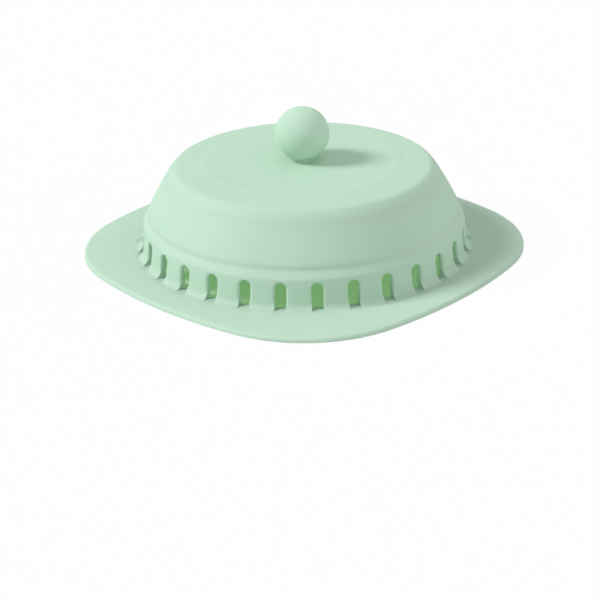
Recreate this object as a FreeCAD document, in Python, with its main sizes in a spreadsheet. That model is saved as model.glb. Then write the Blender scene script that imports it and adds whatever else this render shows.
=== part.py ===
import FreeCAD, Part
import Sketcher
import math
import os
import re

# Silicone sink strainer: a square mat with a slotted collar, and a dome that is pressed down by its ball.
# The origin is under the middle of the mat, where it lies on a surface. +Z is up. Sizes are in millimetres.

SIZES = (
    ("mat_side", 150, "across the mat from side to side"),
    ("mat_side_arc", 180, "radius of the mat's gently bowed sides"),
    ("mat_corner_arc", 47, "radius of the mat's corners"),
    ("mat_thickness", 1.6, "mat"),
    ("mat_edge_round", 0.8, "round along the mat's upper edge"),
    ("mat_margin", 10.8, "mat beyond the collar's foot ring, at the middle of a side"),
    ("collar_seat_depth", 0.6, "recess in the mat that takes the collar's foot ring"),
    ("collar_seat_gap", 0.05, "radial gap round the foot ring in its recess"),
    ("collar_foot_land", 0.2, "flat of the foot ring beyond the collar's flare"),
    ("collar_flare", 2.4, "round between the collar's wall and its foot ring"),
    ("collar_wall", 2.2, "collar's wall"),
    ("collar_rise", 10.4, "collar's upright wall above the mat"),
    ("collar_draft", 1.4, "how far the upright wall leans in"),
    ("collar_shoulder_rise", 3.9, "collar's sloped shoulder above the upright wall"),
    ("collar_shoulder_inset", 2.3, "how far the shoulder slopes in"),
    ("collar_shoulder_round", 1.5, "round below the collar's shoulder"),
    ("collar_ledge_round", 0.5, "round at the outer edge of the ledge above the shoulder"),
    ("slot_count", 30, "drain slots round the collar"),
    ("slot_width", 4, "drain slot"),
    ("slot_crown_drop", 1.3, "crown of a slot's round top below the shoulder"),
    ("slot_turn", -0.85, "degrees that the ring of slots is turned on the mat"),
    ("crease_step", 0.7, "ledge left free outside the foot of the folding wall"),
    ("crease_rise", 1.7, "upright foot of the folding wall"),
    ("crease_round", 4, "rounds between that foot and the leaning wall"),
    ("dome_wall", 1.5, "folding wall, measured level"),
    ("dome_rise", 15.4, "dome above the crease, up to the edge of its top"),
    ("dome_lean", 9.3, "how far the dome's side leans in, up to that level"),
    ("cap_thickness", 2.4, "top of the cap"),
    ("cap_crown", 1.3, "rise of the cap's top from its edge to the level seat under the ball"),
    ("cap_seat_margin", 3.4, "level seat beyond the ball's neck"),
    ("cap_bevel_drop", 1.5, "height of the bevel between the dome's side and top"),
    ("cap_bevel_inset", 1.8, "level width of that bevel"),
    ("cap_edge_round", 1.6, "round between the bevel and the top"),
    ("cap_shoulder_round", 6, "round between the bevel and the dome's side"),
    ("cap_skirt", 2.6, "side of the cap below the bevel, down to the folding wall"),
    ("cap_inner_round", 3, "inner round between the dome's side and top"),
    ("cap_rim_land", 0.15, "straight inner side of the cap below that round"),
    ("bead_inset", 12, "middle of the raised bead, in from the dome's corner"),
    ("bead_width", 5.4, "raised bead"),
    ("bead_height", 0.3, "raised bead"),
    ("lip_inset", 8.4, "middle of the sealing lip under the cap, in from the dome's corner"),
    ("lip_width", 1.6, "sealing lip"),
    ("lip_height", 2.6, "sealing lip"),
    ("lip_round", 0.5, "rounds along the sealing lip"),
    ("ball_radius", 10, "ball that the dome is pulled up by"),
    ("neck_rise", 0.9, "neck between the cap and the ball"),
    ("neck_step", 1.7, "neck beyond the shank"),
    ("shank_radius", 2.9, "shank of the ball through the cap"),
    ("shank_gap", 0.1, "radial gap round the shank"),
    ("head_grip", 2.7, "barbed head beyond the shank, under the cap"),
    ("head_tip_step", 0.7, "lower end of the tapered head beyond the shank"),
    ("head_thickness", 1.5, "barbed head"),
)

LINEAR_TOLERANCE_SHARE = 1e-4
FULL_TURN = 360

doc = FreeCAD.newDocument("sink_strainer")


def make_sheet():
    """The driving dimensions, one row each: what it measures, and the number under its alias."""
    sheet = doc.addObject("Spreadsheet::Sheet", "size")
    for row, (alias, number, meaning) in enumerate(SIZES, 1):
        sheet.set(f"A{row}", meaning)
        sheet.set(f"B{row}", str(number))
        sheet.setAlias(f"B{row}", alias)
    doc.recompute()
    return sheet


sheet = make_sheet()


def size(expression):
    """The number that an expression in the sheet's aliases stands for."""
    return float(sheet.evalExpression(expression))


def bound(expression):
    """The same expression as another object of the document has to write it."""
    names = {alias for alias, _, _ in SIZES}
    return re.sub("[a-z_]+", lambda word: f"size.{word[0]}" if word[0] in names else word[0], expression)


def new_body(name):
    body = doc.addObject("PartDesign::Body", name)
    body.Label = name
    return body


def origin_feature(body, role):
    """One of the body's own origin planes or axes."""
    return next(feature for feature in body.Origin.OriginFeatures if feature.Role == role)


def new_sketch(body, name, plane):
    sketch = body.newObject("Sketcher::SketchObject", name)
    sketch.AttachmentSupport = (origin_feature(body, plane), [""])
    sketch.MapMode = "FlatFace"
    return sketch


def pin_down(sketch, geometry, end, across, up):
    """Holds one end of an edge at a place given by two expressions. A zero puts it on the sketch's axis."""
    for kind, axis, expression in (("DistanceX", -2, across), ("DistanceY", -1, up)):
        if expression == "0":
            sketch.addConstraint(Sketcher.Constraint("PointOnObject", geometry, end, axis))
            continue
        made = sketch.addConstraint(Sketcher.Constraint(kind, -1, 1, geometry, end, size(expression)))
        sketch.setExpression(f"Constraints[{made}]", bound(expression))


def arc_between(start, finish, radius):
    """The short arc of that radius from start to finish, anticlockwise."""
    chord = finish - start
    middle = (start + finish) * 0.5
    reach = (radius**2 - (chord.Length / 2) ** 2) ** 0.5
    centre = middle + FreeCAD.Vector(-chord.y, chord.x, 0).normalize() * reach
    circle = Part.Circle(centre, FreeCAD.Vector(0, 0, 1), radius)
    return Part.ArcOfCircle(circle, circle.parameter(start), circle.parameter(finish))


def closed_outline(sketch, corners):
    """A closed chain of edges, anticlockwise. Each corner is (across, up) in expressions. A third expression
    makes the edge that leads to it an arc of that radius, which also runs anticlockwise."""
    places = [FreeCAD.Vector(size(corner[0]), size(corner[1]), 0) for corner in corners]
    count = len(corners)
    for i, corner in enumerate(corners):
        start, finish = places[i - 1], places[i]
        if len(corner) == 3:
            sketch.addGeometry(arc_between(start, finish, size(corner[2])))
        else:
            sketch.addGeometry(Part.LineSegment(start, finish))
    for i, corner in enumerate(corners):
        sketch.addConstraint(Sketcher.Constraint("Coincident", i, 2, (i + 1) % count, 1))
        pin_down(sketch, i, 2, corner[0], corner[1])
        if len(corner) == 3:
            made = sketch.addConstraint(Sketcher.Constraint("Radius", i, size(corner[2])))
            sketch.setExpression(f"Constraints[{made}]", bound(corner[2]))


def turned(body, name, corners):
    """A solid of revolution about Z, from an outline in the XZ plane: across is radius, and up is height."""
    sketch = new_sketch(body, f"{name}_outline", "XZ_Plane")
    closed_outline(sketch, corners)
    revolution = body.newObject("PartDesign::Revolution", name)
    revolution.Profile = sketch
    revolution.ReferenceAxis = (sketch, ["V_Axis"])
    revolution.Angle = FULL_TURN
    doc.recompute()
    return revolution


def rings(feature, places):
    """The names of a feature's circular edges about Z with these radii and heights, given in expressions."""
    found = []
    for across, up in places:
        radius, height = size(across), size(up)
        close = LINEAR_TOLERANCE_SHARE * radius
        for number, edge in enumerate(feature.Shape.Edges, 1):
            if edge.Degenerated or not isinstance(edge.Curve, Part.Circle):
                continue
            centre = edge.Curve.Center
            if abs(edge.Curve.Radius - radius) < close and abs(centre.z - height) < close:
                found.append(f"Edge{number}")
    return found


def rounded(body, feature, name, edges, radius):
    """A fillet along the named edges of a feature."""
    if not edges:
        raise ValueError(f"{name} has no edge to round")
    fillet = body.newObject("PartDesign::Fillet", name)
    fillet.Base = (feature, edges)
    fillet.setExpression("Radius", bound(radius))
    doc.recompute()
    return fillet


def pocket_through(body, name, sketch, depth=None, reversed_side=False):
    """A pocket of the sketch: through everything, or to a depth given in an expression."""
    pocket = body.newObject("PartDesign::Pocket", name)
    pocket.Profile = sketch
    pocket.Reversed = reversed_side
    if depth is None:
        pocket.Type = "ThroughAll"
    else:
        pocket.Type = "Length"
        pocket.setExpression("Length", bound(depth))
    before = pocket.BaseFeature.Shape.Volume
    doc.recompute()
    if pocket.Shape.Volume >= before:
        raise ValueError(f"{name} cuts nothing")
    return pocket


def circle_sketch(body, name, plane, radius, height="0"):
    """A circle about Z, in a plane at a height given in an expression."""
    sketch = new_sketch(body, name, plane)
    sketch.setExpression("AttachmentOffset.Base.z", bound(height))
    sketch.addGeometry(Part.Circle(FreeCAD.Vector(0, 0, 0), FreeCAD.Vector(0, 0, 1), size(radius)))
    sketch.addConstraint(Sketcher.Constraint("Coincident", 0, 3, -1, 1))
    made = sketch.addConstraint(Sketcher.Constraint("Radius", 0, size(radius)))
    sketch.setExpression(f"Constraints[{made}]", bound(radius))
    return sketch


# Sizes that follow from the sheet and that several pieces share, as expressions in its aliases

FOOT_RADIUS = "mat_side / 2 - mat_margin"
BASE_RADIUS = f"{FOOT_RADIUS} - collar_foot_land - collar_flare"
NECK_RADIUS = f"{BASE_RADIUS} - collar_draft"
LEDGE_RADIUS = f"{NECK_RADIUS} - collar_shoulder_inset"
CREASE_RADIUS = f"{LEDGE_RADIUS} - crease_step"
CORNER_RADIUS = f"{CREASE_RADIUS} - dome_lean"
DRAIN_RADIUS = f"{BASE_RADIUS} - collar_wall"
CREASE_BORE_RADIUS = f"{CREASE_RADIUS} - dome_wall"
SEAT_HEIGHT = "mat_thickness - collar_seat_depth"
NECK_HEIGHT = "mat_thickness + collar_rise"
LEDGE_HEIGHT = f"{NECK_HEIGHT} + collar_shoulder_rise"
CREASE_HEIGHT = f"{LEDGE_HEIGHT} + crease_rise"
DOME_TOP = f"{CREASE_HEIGHT} + dome_rise"
CAP_UNDERSIDE = f"{DOME_TOP} - cap_thickness"
CROWN_HEIGHT = f"{DOME_TOP} + cap_crown"
CROWN_UNDERSIDE = f"{CROWN_HEIGHT} - cap_thickness"
BALL_SEAT_RADIUS = "shank_radius + neck_step + cap_seat_margin"
RIM_DROP = "(cap_bevel_drop + cap_skirt)"
RIM_HEIGHT = f"{DOME_TOP} - {RIM_DROP}"
RIM_RADIUS = f"{CORNER_RADIUS} + {RIM_DROP} * dome_lean / dome_rise"
RIM_BORE_RADIUS = f"{RIM_RADIUS} - dome_wall"
SHANK_HOLE_RADIUS = "shank_radius + shank_gap"


def mat_outline(sketch):
    """A square whose four sides bow out a little and run tangent into four corner arcs."""
    half, side_arc, corner_arc = size("mat_side / 2"), size("mat_side_arc"), size("mat_corner_arc")
    away = side_arc - half
    # A corner's centre lies on the diagonal, where its arc touches both sides from inside.
    corner = (-away + (2 * (side_arc - corner_arc) ** 2 - away**2) ** 0.5) / 2
    side_angle = FreeCAD.Vector(corner + away, corner, 0).getAngle(FreeCAD.Vector(1, 0, 0))
    quarter = FreeCAD.Rotation(FreeCAD.Vector(0, 0, 1), FULL_TURN / 4)
    up = FreeCAD.Vector(0, 0, 1)
    centres = (FreeCAD.Vector(-away, 0, 0), FreeCAD.Vector(corner, corner, 0))
    right_angle = math.pi / 2
    for turn in range(4):
        start = turn * right_angle
        side = Part.Circle(centres[0], up, side_arc)
        sketch.addGeometry(Part.ArcOfCircle(side, start - side_angle, start + side_angle))
        bend = Part.Circle(centres[1], up, corner_arc)
        sketch.addGeometry(Part.ArcOfCircle(bend, start + side_angle, start + right_angle - side_angle))
        centres = tuple(quarter.multVec(centre) for centre in centres)
    offsets = ("mat_side / 2 - mat_side_arc", "mat_side_arc - mat_side / 2")
    for turn in range(4):
        side, bend = 2 * turn, 2 * turn + 1
        along = offsets[turn // 2]
        pin_down(sketch, side, 3, *((along, "0") if turn % 2 == 0 else ("0", along)))
        for edge, radius in ((side, "mat_side_arc"), (bend, "mat_corner_arc")):
            made = sketch.addConstraint(Sketcher.Constraint("Radius", edge, size(radius)))
            sketch.setExpression(f"Constraints[{made}]", bound(radius))
        sketch.addConstraint(Sketcher.Constraint("Tangent", side, 2, bend, 1))
        sketch.addConstraint(Sketcher.Constraint("Tangent", bend, 2, (side + 2) % 8, 1))


def make_base_mat():
    """The square mat, with the drain opening and the recess that the collar's foot ring lies in."""
    body = new_body("base_mat")
    outline = new_sketch(body, "mat_outline", "XY_Plane")
    mat_outline(outline)
    sheet_pad = body.newObject("PartDesign::Pad", "mat_sheet")
    sheet_pad.Profile = outline
    sheet_pad.setExpression("Length", bound("mat_thickness"))
    doc.recompute()
    top = size("mat_thickness")
    upper_edges = [
        f"Edge{number}"
        for number, edge in enumerate(sheet_pad.Shape.Edges, 1)
        if min(vertex.Point.z for vertex in edge.Vertexes) > top / 2
    ]
    rounded(body, sheet_pad, "mat_edge", upper_edges, "mat_edge_round")
    opening = circle_sketch(body, "opening_circle", "XY_Plane", DRAIN_RADIUS)
    pocket_through(body, "drain_opening", opening, reversed_side=True)
    recess = circle_sketch(body, "seat_circle", "XY_Plane", f"{FOOT_RADIUS} + collar_seat_gap", SEAT_HEIGHT)
    pocket_through(body, "collar_seat", recess, depth="mat_thickness", reversed_side=True)
    return body


def make_strainer_collar():
    """The drafted collar with its flared foot and sloped shoulder, cut by a ring of round-topped slots."""
    body = new_body("strainer_collar")
    wall = turned(
        body,
        "collar_ring",
        (
            (DRAIN_RADIUS, SEAT_HEIGHT),
            (FOOT_RADIUS, SEAT_HEIGHT),
            (FOOT_RADIUS, "mat_thickness"),
            (BASE_RADIUS, "mat_thickness"),
            (NECK_RADIUS, NECK_HEIGHT),
            (LEDGE_RADIUS, LEDGE_HEIGHT),
            (CREASE_BORE_RADIUS, LEDGE_HEIGHT),
            (f"{NECK_RADIUS} - collar_wall", NECK_HEIGHT),
            (DRAIN_RADIUS, "mat_thickness"),
        ),
    )
    foot = rings(wall, ((BASE_RADIUS, "mat_thickness"),))
    flare = rounded(body, wall, "foot_flare", foot, "collar_flare")
    neck = rings(flare, ((NECK_RADIUS, NECK_HEIGHT),))
    shoulder = rounded(body, flare, "shoulder_edge", neck, "collar_shoulder_round")
    ledge = rings(shoulder, ((LEDGE_RADIUS, LEDGE_HEIGHT),))
    rounded(body, shoulder, "ledge_edge", ledge, "collar_ledge_round")
    arch = new_sketch(body, "slot_arch", "XZ_Plane")
    crown = f"{NECK_HEIGHT} - slot_crown_drop"
    spring = f"{crown} - slot_width / 2"
    closed_outline(
        arch,
        (
            ("- slot_width / 2", "mat_thickness"),
            ("slot_width / 2", "mat_thickness"),
            ("slot_width / 2", spring),
            ("0", crown, "slot_width / 2"),
            ("- slot_width / 2", spring, "slot_width / 2"),
        ),
    )
    slot = pocket_through(body, "slot", arch, depth=f"{FOOT_RADIUS} + collar_wall", reversed_side=True)
    ring = body.newObject("PartDesign::PolarPattern", "slot_ring")
    ring.Originals = [slot]
    ring.Axis = (origin_feature(body, "Z_Axis"), [""])
    ring.Angle = FULL_TURN
    ring.setExpression("Occurrences", bound("slot_count"))
    body.Tip = ring
    body.Placement.Rotation = FreeCAD.Rotation(FreeCAD.Vector(0, 0, 1), size("slot_turn"))
    body.setExpression("Placement.Rotation.Angle", bound("slot_turn"))
    doc.recompute()
    return body


def make_folding_wall():
    """The thin leaning wall that rolls inside out when the cap is pressed. Its upright foot is the crease."""
    body = new_body("folding_wall")
    wall = turned(
        body,
        "dome_side",
        (
            (CREASE_BORE_RADIUS, LEDGE_HEIGHT),
            (CREASE_RADIUS, LEDGE_HEIGHT),
            (CREASE_RADIUS, CREASE_HEIGHT),
            (RIM_RADIUS, RIM_HEIGHT),
            (RIM_BORE_RADIUS, RIM_HEIGHT),
            (CREASE_BORE_RADIUS, CREASE_HEIGHT),
        ),
    )
    bends = rings(wall, ((CREASE_RADIUS, CREASE_HEIGHT), (CREASE_BORE_RADIUS, CREASE_HEIGHT)))
    rounded(body, wall, "crease_bends", bends, "crease_round")
    return body


def make_press_cap():
    """The stiff top of the dome: a slightly raised plate with a soft bevel round it and a low bead on it, a
    sealing lip underneath, and a hole for the ball's shank."""
    body = new_body("press_cap")
    shoulder_radius = f"{CORNER_RADIUS} + cap_bevel_drop * dome_lean / dome_rise"
    shoulder_height = f"{DOME_TOP} - cap_bevel_drop"
    edge_radius = f"{shoulder_radius} - cap_bevel_inset"
    slope = f"cap_crown / ({edge_radius} - ({BALL_SEAT_RADIUS}))"
    bead_outer = f"{CORNER_RADIUS} - bead_inset + bead_width / 2"
    bead_inner = f"{CORNER_RADIUS} - bead_inset - bead_width / 2"
    inner_depth = f"({RIM_DROP} - cap_thickness)"
    inner_corner = f"{RIM_BORE_RADIUS} - {inner_depth} * dome_lean / dome_rise"
    lip_end = f"{CAP_UNDERSIDE} - lip_height"
    lip_inner = f"{CORNER_RADIUS} - lip_inset - lip_width / 2"
    lip_outer = f"{CORNER_RADIUS} - lip_inset + lip_width / 2"
    bead_arc = "(bead_width * bead_width / 4 + bead_height * bead_height) / (2 * bead_height)"
    cap = turned(
        body,
        "cap_shell",
        (
            (SHANK_HOLE_RADIUS, CROWN_UNDERSIDE),
            (BALL_SEAT_RADIUS, CROWN_UNDERSIDE),
            (lip_inner, CAP_UNDERSIDE),
            (lip_inner, lip_end),
            (lip_outer, lip_end),
            (lip_outer, CAP_UNDERSIDE),
            (inner_corner, CAP_UNDERSIDE),
            (RIM_BORE_RADIUS, RIM_HEIGHT),
            (RIM_RADIUS, RIM_HEIGHT),
            (shoulder_radius, shoulder_height),
            (edge_radius, DOME_TOP),
            (bead_outer, f"{DOME_TOP} + {slope} * ({edge_radius} - ({bead_outer}))"),
            (bead_inner, f"{DOME_TOP} + {slope} * ({edge_radius} - ({bead_inner}))", bead_arc),
            (BALL_SEAT_RADIUS, CROWN_HEIGHT),
            (SHANK_HOLE_RADIUS, CROWN_HEIGHT),
        ),
    )
    shoulder_edge = rings(cap, ((shoulder_radius, shoulder_height),))
    shoulder = rounded(body, cap, "cap_shoulder", shoulder_edge, "cap_shoulder_round")
    top_edge = rings(shoulder, ((edge_radius, DOME_TOP),))
    outer = rounded(body, shoulder, "cap_edge", top_edge, "cap_edge_round")
    # The inner round ends before the rim. One of radius 1 would reach this far down the side.
    round_drop = "(1 - dome_lean / sqrt(dome_rise * dome_rise + dome_lean * dome_lean))"
    inner_round = f"min(cap_inner_round; ({inner_depth} - cap_rim_land) / {round_drop})"
    inner_edge = rings(outer, ((inner_corner, CAP_UNDERSIDE),))
    inner = rounded(body, outer, "cap_inner_shoulder", inner_edge, inner_round)
    lip_edges = rings(inner, ((lip_inner, lip_end), (lip_outer, lip_end)))
    rounded(body, inner, "lip_edges", lip_edges, "lip_round")
    return body


def make_ball_knob():
    """The ball, its neck on the cap, and the shank with the barbed head that grips under the cap."""
    body = new_body("ball_knob")
    neck_radius = "(shank_radius + neck_step)"
    neck_top = f"{CROWN_HEIGHT} + neck_rise"
    ball_centre = f"{neck_top} + sqrt(ball_radius * ball_radius - {neck_radius} * {neck_radius})"
    head_end = f"{CROWN_UNDERSIDE} - head_thickness"
    turned(
        body,
        "ball",
        (
            ("0", head_end),
            ("shank_radius + head_tip_step", head_end),
            ("shank_radius + head_grip", CROWN_UNDERSIDE),
            ("shank_radius", CROWN_UNDERSIDE),
            ("shank_radius", CROWN_HEIGHT),
            (neck_radius, CROWN_HEIGHT),
            (neck_radius, neck_top),
            ("ball_radius", ball_centre, "ball_radius"),
            ("0", f"{ball_centre} + ball_radius", "ball_radius"),
        ),
    )
    return body


def check(pieces):
    """Stops before anything is written if an object failed or a piece isn't one sound solid."""
    doc.recompute()
    for item in doc.Objects:
        if "Invalid" in item.State or "Error" in item.State:
            raise RuntimeError(f"{item.Name} failed: {item.State}")
    for piece in pieces:
        shape = piece.Shape
        if shape.isNull() or not shape.isValid() or len(shape.Solids) != 1:
            raise RuntimeError(f"{piece.Label} isn't one sound solid")
        print(f"{piece.Label}: {shape.Volume / 1000:.2f} cm3, {len(shape.Faces)} faces")


pieces = [
    make_base_mat(),
    make_strainer_collar(),
    make_folding_wall(),
    make_press_cap(),
    make_ball_knob(),
]
check(pieces)
os.makedirs("parts", exist_ok=True)
for piece in pieces:
    piece.Shape.exportStep(f"parts/{piece.Label}.step")
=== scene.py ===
import math

import bmesh
import bpy
import numpy as np
from mathutils import Matrix, Vector


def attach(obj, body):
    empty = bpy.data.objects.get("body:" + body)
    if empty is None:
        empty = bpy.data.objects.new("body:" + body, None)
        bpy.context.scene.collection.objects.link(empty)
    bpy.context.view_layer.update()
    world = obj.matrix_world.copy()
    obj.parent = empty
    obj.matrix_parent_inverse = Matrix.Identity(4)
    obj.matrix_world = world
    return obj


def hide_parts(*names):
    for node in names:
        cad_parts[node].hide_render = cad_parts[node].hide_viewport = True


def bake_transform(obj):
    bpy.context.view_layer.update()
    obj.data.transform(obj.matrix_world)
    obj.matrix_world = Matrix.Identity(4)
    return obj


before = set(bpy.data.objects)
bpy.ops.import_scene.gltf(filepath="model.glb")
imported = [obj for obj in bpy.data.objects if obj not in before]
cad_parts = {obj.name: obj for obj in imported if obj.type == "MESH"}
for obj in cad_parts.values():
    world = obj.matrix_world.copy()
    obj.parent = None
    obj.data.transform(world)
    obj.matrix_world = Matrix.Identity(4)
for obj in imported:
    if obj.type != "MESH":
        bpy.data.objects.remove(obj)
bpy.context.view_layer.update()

# A press-to-close sink strainer, moulded in mint silicone: a square mat, a slotted collar, the wall that
# folds, the stiff cap and the ball. All sizes are in millimetres, and MM turns them into Blender's metres.

MM = 0.001
FULL_TURN = 2 * math.pi

# Mat, with bowed sides that run into wide corners
MAT_HALF = 74.98
MAT_SIDE_ARC = 180
MAT_CORNER_ARC = 47
MAT_TOP = 1.6
MAT_EDGE_ROUND, MAT_EDGE_SEGMENTS = 1.3, 6
SIDE_STEPS, CORNER_STEPS = 12, 48

# Collar, from its foot ring in the mat up to the soft crease under the folding wall
FOOT_RADIUS, FOOT_SEAT = 64.2, 1.0
BASE_RADIUS, FOOT_FLARE = 61.6, 2.6
DRAIN_RADIUS = 59.4
NECK_RADIUS, NECK_HEIGHT, NECK_ROUND = 60.2, 12.3, 2.4
NECK_BORE_RADIUS = 58.0
GROOVE_RADIUS, GROOVE_HEIGHT, GROOVE_ROUND = 58.3, 14.75, 2.6
SEAM_RADIUS, SEAM_HEIGHT = 58.17, 15.49
COLLAR_WALL = 2.2

# Drain slots
SLOT_COUNT = 30
SLOT_HALF = 2.0
SLOT_CROWN = 10.7
SLOT_EDGE_ROUND, SLOT_EDGE_SEGMENTS = 0.9, 4
SLOT_TURN = math.radians(5.15)
SLOT_PITCH = FULL_TURN / SLOT_COUNT
BAR_HALF = 6.3
ARCH_COLUMNS, BAR_COLUMNS, BAR_ROWS = 6, 5, 3

# Folding wall, from the crease up to the cap's rim. Its thickness is measured level, and less at the hinge.
CREASE_RADIUS, CREASE_HEIGHT, CREASE_ROUND = 58.0, 16.5, 5.2
BOW_RADIUS, BOW_HEIGHT, BOW_ROUND = 54.75, 22.7, 120
RIM_RADIUS, RIM_HEIGHT = 50.95, 28.9
WALL_LEVEL = 1.5
HINGE_LEVEL, HINGE_ROUND = 0.5, 4.0
WALL_STEP = 1.6

# Cap
SEAT_RADIUS, CROWN_HEIGHT, CROWN_ROUND = 8, 34.3, 150
EDGE_RADIUS, DOME_TOP, EDGE_ROUND = 47.5, 33.0, 2.6
SHOULDER_RADIUS, SHOULDER_HEIGHT, SHOULDER_ROUND = 49.91, 30.6, 14.5
CAP_THICKNESS = 2.4
INNER_CORNER_RADIUS, INNER_ROUND = 47.85, 2.9
BEAD_RADIUS, BEAD_INNER, BEAD_OUTER, BEAD_HEIGHT, BEAD_ROUND = 35.9, 31.7, 38.1, 0.3, 10
LIP_INNER, LIP_OUTER, LIP_END, LIP_ROUND = 38.7, 40.3, 28.0, 0.5
SHANK_HOLE_RADIUS = 3.0

# Ball, with the waist where it meets the cap
BALL_RADIUS, BALL_CENTRE, BALL_STEPS = 10, 44.079, 48
WAIST_ANGLE, WAIST_RADIUS = math.radians(154), 4.4
SHANK_RADIUS = 2.9
HEAD_RADIUS, HEAD_TIP_RADIUS, HEAD_END = 5.6, 3.6, 30.4

# Silicone. The grain and the waves are given by their size and depth.
PIGMENT_DARK, PIGMENT_LIGHT, CLOUD_SIZE = "#C5E1CE", "#CBE7D4", 16
GRAIN_SIZE, GRAIN_DEPTH = 0.5, 0.006
WAVE_SIZE, WAVE_DEPTH = 9, 0.03
ROUGHNESS_LOW, ROUGHNESS_HIGH = 0.64, 0.78
SILICONE_IOR = 1.41
THROUGH_TINT, THROUGH_SHARE = "#E0FFE2", 0.2

# Camera
CAMERA_AZIMUTH, CAMERA_ELEVATION = math.radians(43.26), math.radians(23.10)
CAMERA_DISTANCE = 545.1
CAMERA_LENS, CAMERA_SENSOR = 85.9, 36
CAMERA_PAN, CAMERA_TILT, CAMERA_ROLL = math.radians(0.22), math.radians(-2.24), math.radians(-1.11)

# Key light and white boards. The boards' values are how much light they add towards each side.
KEY_ENERGY, KEY_SPREAD = 2.55, math.radians(20)
KEY_ELEVATION, KEY_FORWARD = math.radians(40), 0.07
BOARDS_FRONT, BOARDS_RIGHT, BOARDS_LOW = 0.03, 0.44, 0.17
FILL_STRENGTH, SEEN_STRENGTH = 0.69, 0.99

# Table. Inside the collar it carries a painted green glow, a painted light that stands in for light let
# through the silicone. The glow ends between two radii under the collar.
TABLE_HALF = 3000
TABLE_PAINT = "#D8D8D8"
PAINTED_GLOW_COLOUR, PAINTED_GLOW_INNER, PAINTED_GLOW_OUTER = "#9BDA8A", 62, 64
GLOW_STRENGTH, GLOW_SHARE_INSIDE, GLOW_SHARE_OUTSIDE = 1.013, 0.37, 0.92

# How finely the meshes are divided, how near two places count as one, and when a face counts as flat
SPIN_STEPS = 240
ROUND_STEP, ROUND_SEGMENTS = math.radians(7), 3
SHARP_ANGLE = math.radians(40)
SAME_PLACE = 0.001
FLAT_NORMAL = 0.5


def linear(colour):
    """An sRGB hex colour as the linear colour that shader sockets take."""
    channels = [int(colour[i : i + 2], 16) / 255 for i in (1, 3, 5)]
    return [c / 12.92 if c <= 0.04045 else ((c + 0.055) / 1.055) ** 2.4 for c in channels] + [1]


def add(tree, kind, inputs, **settings):
    """Adds a node. An input that is given a socket is linked to it, and any other value is set on it."""
    made = tree.nodes.new(kind)
    for name, value in settings.items():
        setattr(made, name, value)
    for name, value in inputs.items():
        if isinstance(value, bpy.types.NodeSocket):
            tree.links.new(value, made.inputs[name])
        else:
            made.inputs[name].default_value = value
    return made


def moulded_silicone():
    """Mint silicone rubber, compression moulded in a finely blasted steel mould. The eye gets an even, matte
    surface with a very broad gloss, edges that glow a little, and thin walls that let green light through."""
    material = bpy.data.materials.new("moulded_silicone")
    material.use_nodes = True
    tree = material.node_tree
    tree.nodes.clear()
    place = add(tree, "ShaderNodeTexCoord", {}).outputs["Object"]
    # The pigment is worked in by rollers and clouds a little.
    clouds = add(
        tree,
        "ShaderNodeTexNoise",
        {"Vector": place, "Scale": 1 / (CLOUD_SIZE * MM), "Detail": 3},
    )
    tint = add(
        tree,
        "ShaderNodeMix",
        {0: clouds.outputs["Fac"], 6: linear(PIGMENT_DARK), 7: linear(PIGMENT_LIGHT)},
        data_type="RGBA",
    )
    # The blasted mould leaves a grain of about 0.1 mm, drawn here five times as coarse so that it shows.
    grain = add(
        tree,
        "ShaderNodeTexNoise",
        {"Vector": place, "Scale": 1 / (GRAIN_SIZE * MM), "Detail": 2},
    )
    dullness = add(
        tree,
        "ShaderNodeMapRange",
        {"Value": grain.outputs["Fac"], "To Min": ROUGHNESS_LOW, "To Max": ROUGHNESS_HIGH},
    )
    # Rubber shrinks unevenly as it cures, which leaves waves of a few hundredths of a millimetre.
    waves = add(
        tree,
        "ShaderNodeTexNoise",
        {"Vector": place, "Scale": 1 / (WAVE_SIZE * MM), "Detail": 1},
    )
    soft = add(
        tree,
        "ShaderNodeBump",
        {"Height": waves.outputs["Fac"], "Distance": WAVE_DEPTH * MM, "Strength": 1},
    )
    relief = add(
        tree,
        "ShaderNodeBump",
        {
            "Height": grain.outputs["Fac"],
            "Distance": GRAIN_DEPTH * MM,
            "Strength": 1,
            "Normal": soft.outputs["Normal"],
        },
    )
    shader = add(
        tree,
        "ShaderNodeBsdfPrincipled",
        {
            "Base Color": tint.outputs[2],
            "Roughness": dullness.outputs["Result"],
            "IOR": SILICONE_IOR,
            "Normal": relief.outputs["Normal"],
        },
    )
    # Light that has passed through a wall comes out a little greener.
    through = add(
        tree,
        "ShaderNodeBsdfTranslucent",
        {"Color": linear(THROUGH_TINT), "Normal": soft.outputs["Normal"]},
    )
    body = add(
        tree,
        "ShaderNodeMixShader",
        {0: THROUGH_SHARE, 1: shader.outputs["BSDF"], 2: through.outputs["BSDF"]},
    )
    add(tree, "ShaderNodeOutputMaterial", {"Surface": body.outputs["Shader"]})
    return material


def picked(geom, kind):
    """The items of one kind, vertices or edges, among what an operator gives back."""
    return [item for item in geom if isinstance(item, kind)]


def wire(bm, corners, start=None, closed=True):
    """Straight runs in the XZ plane from corner to corner, each (radius, height, round). They go on from the
    vertex that is given, close on themselves or stay open."""
    verts = [bm.verts.new((radius * MM, 0, height * MM)) for radius, height, _ in corners]
    if start:
        chain = [start, *verts]
    elif closed:
        chain = [verts[-1], *verts]
    else:
        chain = verts
    for near, far in zip(chain, chain[1:]):
        bm.edges.new((near, far))
    for vert, (_, _, rounding) in zip(verts, corners):
        if not rounding:
            continue
        before, after = (edge.other_vert(vert).co - vert.co for edge in vert.link_edges)
        turn = math.pi - before.angle(after)
        bmesh.ops.bevel(
            bm,
            geom=[vert],
            offset=rounding * MM * math.tan(turn / 2),
            affect="VERTICES",
            segments=max(ROUND_SEGMENTS, round(turn / ROUND_STEP)),
            profile=0.5,
            material=-1,
        )


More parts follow.
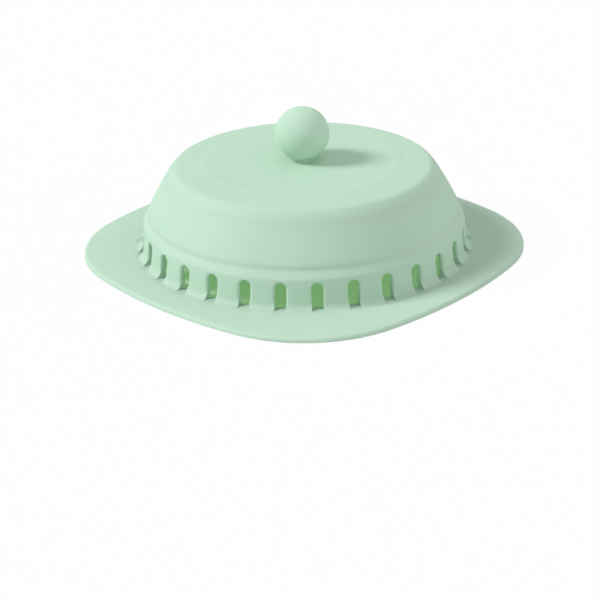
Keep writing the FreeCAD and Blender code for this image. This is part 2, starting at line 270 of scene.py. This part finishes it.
def turn_wire(bm):
    """Spins what is in the bmesh once round Z into a closed skin."""
    bmesh.ops.spin(
        bm,
        geom=bm.verts[:] + bm.edges[:],
        cent=(0, 0, 0),
        axis=(0, 0, 1),
        angle=FULL_TURN,
        steps=SPIN_STEPS,
        use_merge=True,
    )


def piece(name, bm, node, body=None):
    """Closes the skin, shades it smooth up to its real edges, and puts it in the place of its CAD node."""
    bmesh.ops.remove_doubles(bm, verts=bm.verts, dist=SAME_PLACE * MM)
    bmesh.ops.recalc_face_normals(bm, faces=bm.faces)
    for face in bm.faces:
        face.smooth = True
    for edge in bm.edges:
        edge.smooth = edge.calc_face_angle(0) < SHARP_ANGLE
    mesh = bpy.data.meshes.new(name)
    bm.to_mesh(mesh)
    bm.free()
    mesh.materials.append(silicone)
    made = bpy.data.objects.new(name, mesh)
    bpy.context.scene.collection.objects.link(made)
    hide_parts(node)
    if body:
        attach(made, body)
    return made


def make_mat():
    """The thin mat: bowed sides, wide corners, a round along the top edge and the recess for the collar."""
    bm = bmesh.new()
    away = MAT_SIDE_ARC - MAT_HALF
    corner = (math.sqrt(2 * (MAT_SIDE_ARC - MAT_CORNER_ARC) ** 2 - away**2) - away) / 2
    side_angle = math.atan2(corner, corner + away)
    vert = bm.verts.new((MAT_HALF * MM, 0, MAT_TOP * MM))
    for centre, angle, steps in (
        ((-away, 0), side_angle, SIDE_STEPS),
        ((corner, corner), math.pi / 2 - 2 * side_angle, CORNER_STEPS),
        ((0, -away), side_angle, SIDE_STEPS),
    ):
        arc = bmesh.ops.spin(
            bm,
            geom=[vert],
            cent=Vector((*centre, 0)) * MM,
            axis=(0, 0, 1),
            angle=angle,
            steps=steps,
        )
        vert = picked(arc["geom_last"], bmesh.types.BMVert)[0]
    # The arcs make one quarter of the outline, and the other three follow.
    bmesh.ops.spin(
        bm,
        geom=bm.verts[:] + bm.edges[:],
        cent=(0, 0, 0),
        axis=(0, 0, 1),
        angle=FULL_TURN * 3 / 4,
        steps=3,
        use_duplicate=True,
    )
    bmesh.ops.remove_doubles(bm, verts=bm.verts, dist=SAME_PLACE * MM)
    rim = bm.edges[:]
    outline = set(rim)
    seat = bm.verts.new((FOOT_RADIUS * MM, 0, MAT_TOP * MM))
    bmesh.ops.spin(
        bm,
        geom=[seat],
        cent=(0, 0, 0),
        axis=(0, 0, 1),
        angle=FULL_TURN,
        steps=len(rim),
        use_merge=True,
    )
    bmesh.ops.remove_doubles(bm, verts=bm.verts, dist=SAME_PLACE * MM)
    hole = [edge for edge in bm.edges if edge not in outline]
    bmesh.ops.bridge_loops(bm, edges=rim + hole)
    loop = hole
    for radius, height in ((FOOT_RADIUS, FOOT_SEAT), (DRAIN_RADIUS, FOOT_SEAT), (DRAIN_RADIUS, 0)):
        grown = bmesh.ops.extrude_edge_only(bm, edges=loop)["geom"]
        loop = picked(grown, bmesh.types.BMEdge)
        for vert in picked(grown, bmesh.types.BMVert):
            vert.co = Vector((vert.co.x, vert.co.y, 0)).normalized() * radius * MM
            vert.co.z = height * MM
    grown = bmesh.ops.extrude_edge_only(bm, edges=rim)["geom"]
    bmesh.ops.translate(bm, verts=picked(grown, bmesh.types.BMVert), vec=(0, 0, -MAT_TOP * MM))
    bmesh.ops.bridge_loops(bm, edges=loop + picked(grown, bmesh.types.BMEdge))
    bmesh.ops.bevel(
        bm,
        geom=rim,
        offset=MAT_EDGE_ROUND * MM,
        affect="EDGES",
        segments=MAT_EDGE_SEGMENTS,
        profile=0.5,
        material=-1,
    )
    piece("mat", bm, "base_mat", "base")


def collar_face():
    """The collar's outer face from its foot ring to the inside of its ledge, as rows of radius and height."""
    bm = bmesh.new()
    wire(
        bm,
        (
            (FOOT_RADIUS, FOOT_SEAT, 0),
            (FOOT_RADIUS, MAT_TOP, 0),
            (BASE_RADIUS, MAT_TOP, FOOT_FLARE),
            (NECK_RADIUS, NECK_HEIGHT, NECK_ROUND),
            (GROOVE_RADIUS, GROOVE_HEIGHT, GROOVE_ROUND),
            (SEAM_RADIUS, SEAM_HEIGHT, 0),
            (SEAM_RADIUS - WALL_LEVEL, SEAM_HEIGHT, 0),
        ),
        closed=False,
    )
    vert = max((v for v in bm.verts if len(v.link_edges) == 1), key=lambda v: v.co.x)
    edge, points = None, []
    while vert:
        points.append((vert.co.x / MM, vert.co.z / MM))
        edge = next((e for e in vert.link_edges if e is not edge), None)
        vert = edge.other_vert(vert) if edge else None
    bm.free()
    return np.array(points)


def make_collar():
    """The drafted collar with its flared foot and sloped shoulder. One bar and slot are laid out flat, given
    their thickness and soft slot edges, bent to the collar's faces and repeated round it."""
    outer = collar_face()
    along = np.concatenate(([0], np.cumsum(np.linalg.norm(np.diff(outer, axis=0), axis=1))))
    # The first two points are the foot ring's edge. The flare starts at the third.
    flare_point = 2
    flare_start = along[flare_point]
    upright = slice(flare_point, int(np.argmax(outer[:, 1] > SLOT_CROWN)) + 1)
    crown, spring = (
        np.interp(height, outer[upright, 1], along[upright])
        for height in (SLOT_CROWN, SLOT_CROWN - SLOT_HALF)
    )
    flare_end = max(h for h in along if h < spring)
    top = min(h for h in along if h > crown)
    # The inner face runs straight between these places, which lie behind the knots on the outer face.
    inner_knots = np.array(
        (
            (DRAIN_RADIUS, FOOT_SEAT),
            (DRAIN_RADIUS, MAT_TOP),
            (NECK_BORE_RADIUS, NECK_HEIGHT),
            (SEAM_RADIUS - WALL_LEVEL, SEAM_HEIGHT),
        )
    )
    knots = (0, flare_start, top, along[-1])
    across = [SLOT_HALF * math.sin(math.pi / 2 * i / ARCH_COLUMNS) for i in range(ARCH_COLUMNS)]
    across += list(np.linspace(SLOT_HALF, BAR_HALF, BAR_COLUMNS + 1))
    low = [h for h in along if h < flare_end]
    up = low + list(np.linspace(flare_end, spring, BAR_ROWS, endpoint=False))
    spring_row = len(up)
    up += [spring] + [h for h in along if h >= top]
    foot_row = up.index(flare_start)

    bm = bmesh.new()
    columns, rows = len(across) - 1, len(up) - 1
    bmesh.ops.create_grid(bm, x_segments=columns, y_segments=rows, size=1)
    opening = []
    for face in bm.faces:
        middle = face.calc_center_median()
        column, row = (middle.x + 1) / 2 * columns, (middle.y + 1) / 2 * rows
        if column < ARCH_COLUMNS and foot_row < row < spring_row:
            opening.append(face)
    bmesh.ops.delete(bm, geom=opening, context="FACES")
    for vert in bm.verts:
        column, row = round((vert.co.x + 1) / 2 * columns), round((vert.co.y + 1) / 2 * rows)
        height = up[row]
        if column < ARCH_COLUMNS and row == spring_row:
            height = spring + math.sqrt(SLOT_HALF**2 - across[column] ** 2)
        vert.co = (across[column], height, 0)
    panel = bm.verts[:] + bm.edges[:] + bm.faces[:]
    bmesh.ops.mirror(bm, geom=panel, axis="X", merge_dist=SAME_PLACE)
    bmesh.ops.recalc_face_normals(bm, faces=bm.faces)
    bmesh.ops.solidify(bm, geom=bm.faces[:], thickness=COLLAR_WALL)
    bmesh.ops.recalc_face_normals(bm, faces=bm.faces)

    def is_border(face):
        """Whether the face closes the panel at its sides or its top, where it joins the next or ends."""
        ends = [vert.co for vert in face.verts]
        beside = all(abs(co.x) > BAR_HALF - SAME_PLACE for co in ends)
        above = all(co.y > along[-1] - SAME_PLACE for co in ends)
        return beside or above

    bmesh.ops.delete(bm, geom=[face for face in bm.faces if is_border(face)], context="FACES")
    slot_edges = []
    for edge in bm.edges:
        one, two = (vert.co for vert in edge.verts)
        level = abs(one.z - two.z) < SAME_PLACE and min(one.y, two.y) > flare_end - SAME_PLACE
        in_slot = max(abs(one.x), abs(two.x)) < SLOT_HALF + SAME_PLACE
        flat = [abs(face.normal.z) > FLAT_NORMAL for face in edge.link_faces]
        if level and in_slot and sorted(flat) == [False, True]:
            slot_edges.append(edge)
    bmesh.ops.bevel(
        bm,
        geom=slot_edges,
        offset=SLOT_EDGE_ROUND,
        affect="EDGES",
        segments=SLOT_EDGE_SEGMENTS,
        profile=0.5,
        material=-1,
    )
    for vert in bm.verts:
        side, height, depth = vert.co.x, vert.co.y, abs(vert.co.z) / COLLAR_WALL
        face = np.array([np.interp(height, along, outer[:, axis]) for axis in (0, 1)])
        back = np.array([np.interp(height, knots, inner_knots[:, axis]) for axis in (0, 1)])
        radius, level = face + (back - face) * depth
        slot_angle = math.asin(SLOT_HALF / radius)
        bar_share = max(abs(side) - SLOT_HALF, 0) / (BAR_HALF - SLOT_HALF)
        angle = math.asin(min(abs(side), SLOT_HALF) / radius) + bar_share * (SLOT_PITCH / 2 - slot_angle)
        angle = SLOT_TURN + math.copysign(angle, side)
        vert.co = Vector((radius * math.cos(angle), radius * math.sin(angle), level)) * MM
    bmesh.ops.spin(
        bm,
        geom=bm.verts[:] + bm.edges[:] + bm.faces[:],
        cent=(0, 0, 0),
        axis=(0, 0, 1),
        angle=FULL_TURN - SLOT_PITCH,
        steps=SLOT_COUNT - 1,
        use_duplicate=True,
    )
    piece("collar", bm, "strainer_collar", "base")


def make_wall():
    """The thin leaning wall between the collar's ledge and the cap, made as it stands at rest. The real wall
    rolls over when the cap is pressed, about the crease at its foot, where it is thinnest."""
    bm = bmesh.new()
    wire(
        bm,
        (
            (SEAM_RADIUS - HINGE_LEVEL, SEAM_HEIGHT, 0),
            (SEAM_RADIUS, SEAM_HEIGHT, 0),
            (CREASE_RADIUS, CREASE_HEIGHT, CREASE_ROUND),
            (BOW_RADIUS, BOW_HEIGHT, BOW_ROUND),
            (RIM_RADIUS, RIM_HEIGHT, 0),
            (RIM_RADIUS - WALL_LEVEL, RIM_HEIGHT, 0),
            (BOW_RADIUS - WALL_LEVEL, BOW_HEIGHT, BOW_ROUND),
            (CREASE_RADIUS - HINGE_LEVEL, CREASE_HEIGHT, HINGE_ROUND),
        ),
    )
    while side := [edge for edge in bm.edges if edge.calc_length() > WALL_STEP * MM]:
        bmesh.ops.subdivide_edges(bm, edges=side, cuts=1)
    turn_wire(bm)
    wall = piece("dome_wall", bm, "folding_wall")
    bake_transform(wall)


def make_cap():
    """The stiff top: a slightly raised plate with a soft edge and a faint bead, and the sealing lip
    underneath."""
    bm = bmesh.new()
    slope = (CROWN_HEIGHT - DOME_TOP) / (EDGE_RADIUS - SEAT_RADIUS)
    bead_outer, bead_middle, bead_inner = (
        DOME_TOP + slope * (EDGE_RADIUS - radius) for radius in (BEAD_OUTER, BEAD_RADIUS, BEAD_INNER)
    )
    underside = DOME_TOP - CAP_THICKNESS
    wire(
        bm,
        (
            (SHANK_HOLE_RADIUS, CROWN_HEIGHT - CAP_THICKNESS, 0),
            (SEAT_RADIUS, CROWN_HEIGHT - CAP_THICKNESS, 0),
            (LIP_INNER, underside, LIP_ROUND),
            (LIP_INNER, LIP_END, LIP_ROUND),
            (LIP_OUTER, LIP_END, LIP_ROUND),
            (LIP_OUTER, underside, LIP_ROUND),
            (INNER_CORNER_RADIUS, underside, INNER_ROUND),
            (RIM_RADIUS - WALL_LEVEL, RIM_HEIGHT, 0),
            (RIM_RADIUS, RIM_HEIGHT, 0),
            (SHOULDER_RADIUS, SHOULDER_HEIGHT, SHOULDER_ROUND),
            (EDGE_RADIUS, DOME_TOP, EDGE_ROUND),
            (BEAD_OUTER, bead_outer, BEAD_ROUND),
            (BEAD_RADIUS, bead_middle + BEAD_HEIGHT, BEAD_ROUND),
            (BEAD_INNER, bead_inner, BEAD_ROUND),
            (SEAT_RADIUS, CROWN_HEIGHT, CROWN_ROUND),
            (SHANK_HOLE_RADIUS, CROWN_HEIGHT, 0),
        ),
    )
    turn_wire(bm)
    piece("cap", bm, "press_cap", "press_top")


def make_ball():
    """The ball on its short waist, with the shank and the barbed head that hold it in the cap."""
    bm = bmesh.new()
    crown = bm.verts.new((0, 0, (BALL_CENTRE + BALL_RADIUS) * MM))
    arc = bmesh.ops.spin(
        bm,
        geom=[crown],
        cent=(0, 0, BALL_CENTRE * MM),
        axis=(0, 1, 0),
        angle=WAIST_ANGLE,
        steps=BALL_STEPS,
    )
    wire(
        bm,
        (
            (WAIST_RADIUS, CROWN_HEIGHT, 0),
            (SHANK_RADIUS, CROWN_HEIGHT, 0),
            (SHANK_RADIUS, CROWN_HEIGHT - CAP_THICKNESS, 0),
            (HEAD_RADIUS, CROWN_HEIGHT - CAP_THICKNESS, 0),
            (HEAD_TIP_RADIUS, HEAD_END, 0),
            (0, HEAD_END, 0),
        ),
        picked(arc["geom_last"], bmesh.types.BMVert)[0],
    )
    turn_wire(bm)
    piece("ball", bm, "ball_knob", "press_top")


def make_camera(back):
    """The camera, back from the mat's middle and turned so that the strainer sits high in the picture."""
    camera = bpy.data.objects.new("camera", bpy.data.cameras.new("camera"))
    bpy.context.scene.collection.objects.link(camera)
    camera.data.sensor_width = CAMERA_SENSOR
    camera.data.lens = CAMERA_LENS
    aim = (-back).to_track_quat("-Z", "Y").to_matrix().to_4x4()
    turns = ((CAMERA_PAN, "Y"), (CAMERA_TILT, "X"), (CAMERA_ROLL, "Z"))
    pan, tilt, roll = (Matrix.Rotation(angle, 4, axis) for angle, axis in turns)
    camera.matrix_world = Matrix.Translation(back * (CAMERA_DISTANCE * MM)) @ aim @ pan @ tilt @ roll
    bpy.context.scene.camera = camera


def make_key(left, front):
    """One broad soft key from the camera's left."""
    key = bpy.data.objects.new("key", bpy.data.lights.new("key", "SUN"))
    bpy.context.scene.collection.objects.link(key)
    key.data.energy = KEY_ENERGY
    key.data.angle = KEY_SPREAD
    level = (left + KEY_FORWARD * front).normalized() * math.cos(KEY_ELEVATION)
    towards = level + Vector((0, 0, math.sin(KEY_ELEVATION)))
    key.rotation_mode = "QUATERNION"
    key.rotation_quaternion = towards.to_track_quat("Z", "Y")


def add_seen(tree):
    """1 where the camera sees the surface, directly or mirrored, and 0 elsewhere. Light that passes through
    the silicone counts as elsewhere, because it is scattered."""
    path = add(tree, "ShaderNodeLightPath", {})
    seen = add(
        tree,
        "ShaderNodeMath",
        {0: path.outputs["Is Camera Ray"], 1: path.outputs["Is Glossy Ray"]},
        operation="MAXIMUM",
    )
    return seen.outputs["Value"]


def make_surround(left, front):
    """White boards that stand round the table and fill the shade, most of all across from the key and low
    down. Where they are seen they are white."""
    world = bpy.data.worlds.new("surround")
    bpy.context.scene.world = world
    world.use_nodes = True
    tree = world.node_tree
    tree.nodes.clear()
    seen = add_seen(tree)
    boards = BOARDS_FRONT * front - BOARDS_RIGHT * left - Vector((0, 0, BOARDS_LOW))
    way = add(tree, "ShaderNodeTexCoord", {}).outputs["Generated"]
    side = add(tree, "ShaderNodeVectorMath", {0: way, 1: boards}, operation="DOT_PRODUCT")
    fill = add(tree, "ShaderNodeMath", {0: side.outputs["Value"], 1: FILL_STRENGTH}, operation="ADD")
    strength = add(
        tree,
        "ShaderNodeMix",
        {0: seen, 2: fill.outputs["Value"], 3: SEEN_STRENGTH},
    )
    light = add(
        tree,
        "ShaderNodeBackground",
        {"Color": linear("#FFFFFF"), "Strength": strength.outputs[0]},
    )
    add(tree, "ShaderNodeOutputWorld", {"Surface": light.outputs["Background"]})


def white_table():
    """White painted board. Round the mat it is seen as white, with a soft shade. Inside the collar it glows
    with painted green light, which stands in for the light that the silicone lets through."""
    paint = bpy.data.materials.new("white_table")
    paint.use_nodes = True
    tree = paint.node_tree
    tree.nodes.clear()
    seen = add_seen(tree)
    place = add(tree, "ShaderNodeTexCoord", {}).outputs["Object"]
    reach = add(tree, "ShaderNodeVectorMath", {0: place}, operation="LENGTH")
    outside = add(
        tree,
        "ShaderNodeMapRange",
        {"Value": reach.outputs["Value"], "From Min": PAINTED_GLOW_INNER * MM, "From Max": PAINTED_GLOW_OUTER * MM},
    )
    # Painted light: inside the collar the table's colour is a painted green glow, standing in for light let
    # through the silicone.
    painted_glow_colour = add(
        tree,
        "ShaderNodeMix",
        {0: outside.outputs["Result"], 6: linear(PAINTED_GLOW_COLOUR), 7: linear("#FFFFFF")},
        data_type="RGBA",
    )
    clear = add(
        tree,
        "ShaderNodeMapRange",
        {"Value": outside.outputs["Result"], "To Min": GLOW_SHARE_INSIDE, "To Max": GLOW_SHARE_OUTSIDE},
    )
    # Inside the collar the painted green glow shows to every ray, so it also lights the inside of the
    # strainer.
    inside = add(tree, "ShaderNodeMath", {0: 1, 1: outside.outputs["Result"]}, operation="SUBTRACT")
    where = add(tree, "ShaderNodeMath", {0: seen, 1: inside.outputs["Value"]}, operation="MAXIMUM")
    share = add(
        tree,
        "ShaderNodeMath",
        {0: where.outputs["Value"], 1: clear.outputs["Result"]},
        operation="MULTIPLY",
    )
    matt = add(tree, "ShaderNodeBsdfDiffuse", {"Color": linear(TABLE_PAINT)})
    # The glow: white where the floor is seen, and painted green light inside the collar.
    glow = add(tree, "ShaderNodeEmission", {"Color": painted_glow_colour.outputs[2], "Strength": GLOW_STRENGTH})
    mix = add(
        tree,
        "ShaderNodeMixShader",
        {0: share.outputs["Value"], 1: matt.outputs["BSDF"], 2: glow.outputs["Emission"]},
    )
    add(tree, "ShaderNodeOutputMaterial", {"Surface": mix.outputs["Shader"]})
    return paint


def make_table():
    """The table that the strainer lies on."""
    bm = bmesh.new()
    bmesh.ops.create_grid(bm, x_segments=1, y_segments=1, size=TABLE_HALF * MM)
    mesh = bpy.data.meshes.new("table")
    bm.to_mesh(mesh)
    bm.free()
    table = bpy.data.objects.new("table", mesh)
    bpy.context.scene.collection.objects.link(table)
    mesh.materials.append(white_table())


def make_studio():
    """The camera, the key, the boards and the table, set out from where the camera stands."""
    level = math.cos(CAMERA_ELEVATION)
    back = Vector(
        (
            math.sin(CAMERA_AZIMUTH) * level,
            -math.cos(CAMERA_AZIMUTH) * level,
            math.sin(CAMERA_ELEVATION),
        )
    )
    left = -Vector((math.cos(CAMERA_AZIMUTH), math.sin(CAMERA_AZIMUTH), 0))
    front = Vector((back.x, back.y, 0)).normalized()
    make_camera(back)
    make_key(left, front)
    make_surround(left, front)
    make_table()
    bpy.context.scene.view_settings.view_transform = "Standard"


silicone = moulded_silicone()
make_mat()
make_collar()
make_wall()
make_cap()
make_ball()
make_studio()
